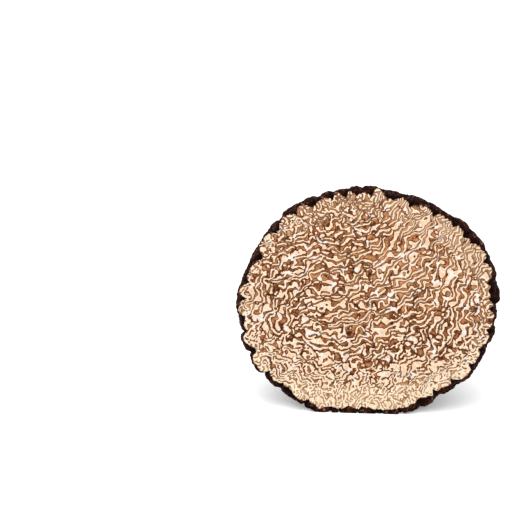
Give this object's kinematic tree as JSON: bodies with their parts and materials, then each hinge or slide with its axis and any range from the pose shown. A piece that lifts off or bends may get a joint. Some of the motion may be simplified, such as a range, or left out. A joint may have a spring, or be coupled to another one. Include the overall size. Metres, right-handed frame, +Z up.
{
  "type": "black truffle half",
  "caption": "Half of a black truffle with a warty dark rind and a flat cut face of marbled flesh, standing on its pressed underside and leaning back a little.",
  "frame": {"origin": "on the surface that the half stands on, under the middle of its bounding box, on the face of a wart that is pressed flat", "axes": "+Z up, +X to the right along the cut as seen from in front, -Y towards the side that the cut faces; the cut leans back 10 degrees from upright"},
  "size_m": [0.0558, 0.0349, 0.0464],
  "materials": {
    "rind": "dull, rough, near-black with reddish-brown wart tips",
    "flesh": "matte, cream veins marbled through tan-brown"
  },
  "bodies": {
    "root": {"truffle_half": "rind"}
  },
  "joints": []
}
